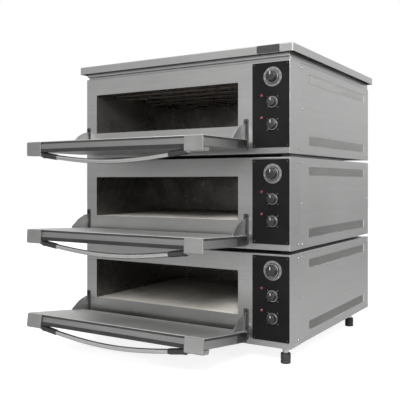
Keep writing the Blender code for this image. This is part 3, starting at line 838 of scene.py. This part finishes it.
def control_panel(deck):
    """The black panel, its dial ring, printed scales, lamps and screws."""
    place = deck_place(deck)
    bm = bmesh.new()
    holes = [disc(KNOB_X, z, 0.004, 16) for z in KNOB_Z.values()]
    holes += [disc(LAMP_X, KNOB_Z[name] + LAMP_RISE, LAMP_R, 24) for name in ("top_heat", "bottom_heat")]
    plate(bm, [rect(PANEL_X[0], PANEL_Z[0], PANEL_X[1], PANEL_Z[1], 0.004), *holes],
          -PANEL_T - GAP, -GAP, FACE)
    make(f"{deck}_control_plate", bm, "black_panel", "casing", place, (f"{deck}_control_panel",),
         bevel=0.0006)

    printed = at(y=-PANEL_T - GAP) @ FACE
    centre = (KNOB_X, KNOB_Z["thermostat"])
    dial_r, dial_hole_r, dial_t = 0.0370, 0.0272, 0.0012
    bm = bmesh.new()
    plate(bm, [disc(*centre, dial_r, 96), disc(*centre, dial_hole_r, 96)], -dial_t, 0, printed)
    make(f"{deck}_thermostat_dial", bm, "dial", "casing", place, bevel=0.0004)
    bm = bmesh.new()
    degrees = [str(value) for value in range(50, 451, 50)]
    scale(bm, centre, printed @ at(z=-dial_t), degrees, minor=5, inner=0.0276, outer=0.0302, size=0.0048)
    for name in ("top_heat", "bottom_heat"):
        scale(bm, (KNOB_X, KNOB_Z[name]), printed, ("0", "1", "2", "3"),
              minor=1, inner=0.0232, outer=0.0256, size=0.0050)
    make(f"{deck}_printed_scales", bm, "print", "casing", place)

    bm, rings = bmesh.new(), bmesh.new()
    for name in ("top_heat", "bottom_heat"):
        lamp = at(LAMP_X, 0, KNOB_Z[name] + LAMP_RISE) @ printed @ Matrix.Rotation(math.pi, 4, "X")
        lathe(bm, [(0.0044, -0.004), (0.0044, 0.0012), (0.0040, 0.0026), (0.0028, 0.0036),
                   (0.0010, 0.0040)], lamp, 24)
        bezel = [(u, v, 0.0006) for u, v in disc(0, 0, LAMP_R + 0.0006, 32)]
        tube(rings, [*bezel, bezel[0]], 0.0009, 8, lamp)
    make(f"{deck}_lamp_lenses", bm, "lamp", "casing", place, smooth=True)
    make(f"{deck}_lamp_bezels", rings, "black_plastic", "casing", place, smooth=True)

    bm = bmesh.new()
    for x in (PANEL_X[0] + 0.008, PANEL_X[1] - 0.008):
        for z in (PANEL_Z[0] + 0.008, PANEL_Z[1] - 0.008):
            screw(bm, at(x, -PANEL_T - GAP, z) @ FACE, 0.0032, 0.0018)
    make(f"{deck}_panel_screws", bm, "black_plastic", "casing", place, smooth=True)


def knob(deck, name, radius, depth):
    """A black knob with a fluted grip, a satin rim and a white pointer; its origin is on its shaft."""
    node, body = f"{deck}_{name}_knob", f"{deck}_{name}_control"
    place = Matrix.Translation(Vector(JOINTS[f"{deck}_{name}_turn"]["pos_m"]))
    outward = at(y=-PANEL_T - GAP) @ FACE @ Matrix.Diagonal((1, 1, -1, 1))
    start = 0.0007
    bm = bmesh.new()
    lathe(bm, [(0.003, -0.018), (0.003, start), (radius - 0.0014, start), (radius - 0.0014, start + 0.0048),
               (radius * 0.90, start + 0.0056), (radius * 0.84, start + 0.0062)], outward, 64)
    rows = [(radius * 0.80, start + 0.006), (radius * 0.79, start + 0.0085), (radius * 0.775, depth * 0.62),
            (radius * 0.76, depth - 0.0020), (radius * 0.735, depth - 0.0008), (radius * 0.69, depth),
            (radius * 0.60, depth + 0.0003), (0.001, depth + 0.0003)]

    def flutes(angle, row):
        return 1.0 + (0.022 * math.cos(20 * angle) if 0 < row < 5 else 0.0)

    lathe(bm, rows, outward, 160, flutes)
    make(f"{node}_body", bm, "black_plastic", body, place, (node,), smooth=True)
    bm = bmesh.new()
    lathe(bm, [(radius - 0.0016, start + 0.0003), (radius - 0.0003, start + 0.0003),
               (radius, start + 0.0008), (radius, start + 0.0044), (radius - 0.0004, start + 0.0050),
               (radius - 0.0016, start + 0.0050)], outward, 64)
    make(f"{node}_rim", bm, "steel_bright", body, place, smooth=True)
    bm = bmesh.new()
    block(bm, (-0.0011, radius * 0.20, depth), (0.0011, radius * 0.68, depth + 0.0008), 0.0003, 2, outward)
    make(f"{node}_pointer", bm, "pointer", body, place)


# --- doors ----------------------------------------------------------------------------------------
def door(deck):
    """An outer skin folded up round the edge, in a darker steel that is painted shade; a dark seal; a
    flatter inner skin held by screws, in a lighter steel that is painted light; a black strip along the
    free edge and black plates on the hinge ends of the sides, both painted shade."""
    body, place = f"{deck}_door_assembly", door_place(deck)
    half = DOOR_T / 2
    seam = (half - 0.010, half - 0.003)
    bm = bmesh.new()
    outer = at(z=-half)
    tray(bm, (DOOR_X[0], -DOOR_END, DOOR_X[1], -DOOR_START), seam[0] + half, outer, fold=0.004)
    # Darker steel on the outer skin: painted shade.
    make(f"{deck}_door_outer_skin", bm, "steel_door_shaded", body, place, (f"{deck}_door",),
         bevel=0.0004)
    bm = bmesh.new()
    inner = at(z=half) @ Matrix.Diagonal((1, 1, -1, 1))
    rim = 0.001
    tray(bm, (DOOR_X[0] + rim, -DOOR_END + rim, DOOR_X[1] - rim, -DOOR_START - rim), half - seam[1], inner,
         fold=0.0022, wall=0.001)
    # Lighter steel on the inner skin: painted light.
    make(f"{deck}_door_inner_skin", bm, "steel_inner_lit", body, place, bevel=0.0004)
    bm = bmesh.new()
    edge, hole = (rect(DOOR_X[0] + inset, -DOOR_END + inset, DOOR_X[1] - inset, -DOOR_START - inset, 0.003)
                  for inset in (0.004, 0.014))
    plate(bm, [edge, hole], seam[0] - 0.004, half - 0.0012)
    make(f"{deck}_door_seal", bm, "gasket_and_shade", body, place)
    bm = bmesh.new()
    for x in (DOOR_X[0] + 0.045, -0.21, 0.055, DOOR_X[1] - 0.045):
        for y in (-DOOR_START - 0.020, -DOOR_END + 0.022):
            screw(bm, at(x, y, half) @ Matrix.Rotation(math.pi, 4, "X"), 0.0036, 0.0006)
    make(f"{deck}_door_screws", bm, "steel_bright", body, place, smooth=True)
    bm = bmesh.new()
    # A black strip along the foot of the free edge: painted shade for the dark line under the door's end
    # face.
    strip = (DOOR_X[0] + CAP_W + GAP, DOOR_X[1] - CAP_W - GAP)
    leg, rise = 0.0030, 0.011
    section = [(-DOOR_END - GAP, -half + rise), (-DOOR_END - leg, -half + rise - 0.001),
               (-DOOR_END - leg, -half - leg), (-DOOR_END + leg, -half - leg),
               (-DOOR_END + leg, -half - GAP), (-DOOR_END - GAP, -half - GAP)]
    plate(bm, [section], *strip, SIDE)
    make(f"{deck}_door_edge_strip", bm, "black_plastic", body, place, bevel=0.0006)
    bm = bmesh.new()
    # Black plates on the hinge ends of the door's sides: painted shade where the sides fall dark beside the
    # front frame.
    shade_plate_t, shade_plate_end, hinge_end = 0.0015, -DOOR_START - 0.075, -DOOR_START - 0.002
    for wall in (DOOR_X[0] - GAP - shade_plate_t, DOOR_X[1] + GAP):
        block(bm, (wall, shade_plate_end, -half + 0.004), (wall + shade_plate_t, hinge_end, half - 0.003), 0.0006)
    make(f"{deck}_door_side_shields", bm, "black_plastic", body, place, smooth=True)
    hinge(deck, body, place)
    handle(deck, body, place)


def hinge(deck, body, place):
    """Two arms that lie on the door and run into the front frame's slots, and the rod they turn on."""
    half = DOOR_T / 2
    on_door, peak = half + GAP, HINGE_HIGH.z - AXIS.z - 0.006
    arm = [(0.012, -0.010), (-0.012, -0.010), (-0.012, on_door), (-ARM_REACH, on_door),
           (-ARM_REACH, on_door + 0.006), (-0.050, peak - 0.018), (-0.012, peak),
           (0.026, peak + 0.006), (0.026, peak - 0.020), (0.012, on_door + 0.012)]
    bm = bmesh.new()
    for x in ARM_X:
        plate(bm, [arm, disc(0, 0, ROD_R - 0.0002, 16)], x - ARM_HALF, x + ARM_HALF, SIDE)
    make(f"{deck}_hinge_arms", bm, "zinc", body, place, (f"{deck}_door_hinge",),
         bevel=0.0006)
    bm = bmesh.new()
    tube(bm, [(ARM_X[0] - 0.003, 0, 0), (ARM_X[1] + 0.003, 0, 0)], ROD_R, 20)
    make(f"{deck}_hinge_rod", bm, "steel_bright", body, place, smooth=True)


def handle(deck, body, place):
    """A smoothly bowed bar, black sockets at its ends that are painted shade beside the caps, and the
    corner caps.
    """
    half = DOOR_T / 2
    ends = (DOOR_X[0] + CAP_W - 0.015, DOOR_X[1] - CAP_W + 0.015)

    def bar_point(share):
        bow = (BAR_DROP - BAR_START) * math.sin(math.pi * share)
        return Vector((ends[0] + (ends[1] - ends[0]) * share, -BAR_OUT, -BAR_START - bow))

    def bar_points(first, last, count):
        return [bar_point(first + (last - first) * step / count) for step in range(count + 1)]

    bm = bmesh.new()
    tube(bm, bar_points(0, 1, 96), HANDLE_R, 24)
    make(f"{deck}_handle_bar", bm, "steel_bar", body, place, (f"{deck}_door_handle",),
         smooth=True)
    bm = bmesh.new()
    # Black sockets round the bar's ends: painted shade beside the corner caps.
    shade_collar = [0.0016, 0.0034, 0.0034, 0.0026] + [0.0022] * 9 + [0.0018, 0.0008]
    for first, last in ((0.016, 0.125), (0.984, 0.875)):
        tube(bm, bar_points(first, last, len(shade_collar) - 1), [HANDLE_R + rise for rise in shade_collar], 24)
    make(f"{deck}_handle_sockets", bm, "black_plastic", body, place, smooth=True)
    bm = bmesh.new()
    high, low = half - 0.002, -CAP_DROP
    for near, far in ((DOOR_X[0], DOOR_X[0] + CAP_W), (DOOR_X[1] - CAP_W, DOOR_X[1])):
        outline = [(-CAP_END, high), (-DOOR_END - GAP, high), (-DOOR_END - GAP, -half - GAP),
                   (-0.288, -half - GAP), (-0.292, low), (-CAP_END + 0.004, low), (-CAP_END, low + 0.004)]
        plate(bm, [outline], near, far, SIDE)
    make(f"{deck}_handle_caps", bm, "cast", body, place, bevel=0.0018)


# --- roof, plate and feet -------------------------------------------------------------------------
def roof():
    """The cap with its proud lip, on a neck with a groove along the foot of its front; the blank plate."""
    neck_h, neck_in, groove_h, groove_d = 0.023, 0.003, 0.011, 0.012
    bm = bmesh.new()
    top = at(z=ROOF_HIGH.z) @ Matrix.Diagonal((1, 1, -1, 1))
    tray(bm, (ROOF_LOW.x, ROOF_LOW.y, ROOF_HIGH.x, ROOF_HIGH.y), ROOF_HIGH.z - ROOF_LOW.z - neck_h, top,
         fold=0.005, corner=0.0035)
    neck_x, back = HALF_W - neck_in, ROOF_HIGH.y - neck_in
    step = ROOF_LOW.z + groove_h - GAP
    for front, near, far in ((FRONT_Y + groove_d, ROOF_LOW.z, step),
                             (FRONT_Y + GAP, step, ROOF_HIGH.z - 0.004)):
        edge = rect(-neck_x, front, neck_x, back, 0.003)
        hole = rect(-neck_x + SHEET, front + SHEET, neck_x - SHEET, back - SHEET, 0.002)
        plate(bm, [edge, hole], near, far)
    plate(bm, [rect(-neck_x + SHEET, FRONT_Y + GAP + SHEET, neck_x - SHEET, FRONT_Y + groove_d + SHEET)],
          step, step + SHEET)
    make("roof_sheet", bm, "steel_side", "casing", LEVEL, ("roof_cap",), bevel=0.0004)
    low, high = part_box("name_plate")
    bm = bmesh.new()
    plate(bm, [rect(low.x, low.z, high.x, high.z, 0.004)], low.y, high.y, FACE)
    make("name_plate_blank", bm, "name_plate", "casing", LEVEL, ("name_plate",),
         bevel=0.0006)


def feet():
    """Four rubber pads, each on a bright stem with a lock nut."""
    for name in ("front_left", "front_right", "rear_left", "rear_right"):
        low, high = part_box(f"{name}_foot")
        centre = (low + high) / 2
        radius = (high.x - low.x) / 2
        place = at(centre.x, centre.y, 0)
        bm = bmesh.new()
        lathe(bm, [(radius - 0.003, 0.0), (radius - 0.0008, 0.0008), (radius, 0.003), (radius, 0.010),
                   (radius - 0.0012, 0.0115), (radius - 0.0012, 0.0135), (radius, 0.015), (radius, 0.036),
                   (radius - 0.0012, 0.0388), (radius - 0.004, 0.040), (0.010, 0.040)], LEVEL, 40)
        make(f"{name}_foot_pad", bm, "rubber", "casing", place, (f"{name}_foot",), smooth=True)
        bm = bmesh.new()
        lathe(bm, [(0.0102, 0.0395), (0.0110, 0.0400), (0.0110, 0.0580), (0.0110, high.z)], LEVEL, 32)
        lathe(bm, [(0.0140, 0.0500), (0.0150, 0.0508), (0.0150, 0.0572), (0.0140, 0.0580)], LEVEL, 6)
        make(f"{name}_foot_stem", bm, "steel_bright", "casing", place, smooth=True)


# --- the whole oven -------------------------------------------------------------------------------
camera()
studio()
for deck in DECKS:
    front_frame(deck)
    side_cover(deck, -1)
    side_cover(deck, 1)
    back_cover(deck)
    chamber(deck)
    control_panel(deck)
    knob(deck, "thermostat", 0.025, 0.024)
    knob(deck, "top_heat", 0.021, 0.022)
    knob(deck, "bottom_heat", 0.021, 0.022)
    door(deck)
roof()
feet()
